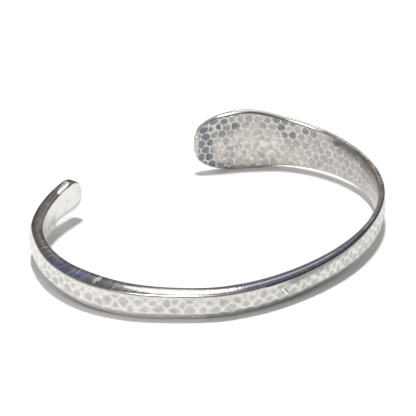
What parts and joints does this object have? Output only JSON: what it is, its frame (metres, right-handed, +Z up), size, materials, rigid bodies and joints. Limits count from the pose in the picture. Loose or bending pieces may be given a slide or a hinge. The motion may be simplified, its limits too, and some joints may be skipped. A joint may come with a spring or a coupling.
{
  "type": "spoon bangle",
  "caption": "Open cuff forged in one piece of hammered silver, with a broad spoon-shaped bowl at one end and a small flared tip at the other, lying on its side.",
  "frame": {"origin": "centre of the box on the surface that it lies on", "axes": "+Z up from that surface, along the way the wrist goes through; +X the long way across the oval, from the small tip's side to the bowl's side; +Y towards the gap between the ends"},
  "size_m": [0.0648, 0.0468, 0.0118],
  "materials": {
    "silver": "hammered sterling silver: the broad faces covered in round hammer facets with a light grey tarnish in them and worn bright ridges between, the narrow sides and the small tip polished smooth"
  },
  "bodies": {
    "root": {"bangle": "silver"}
  },
  "joints": []
}
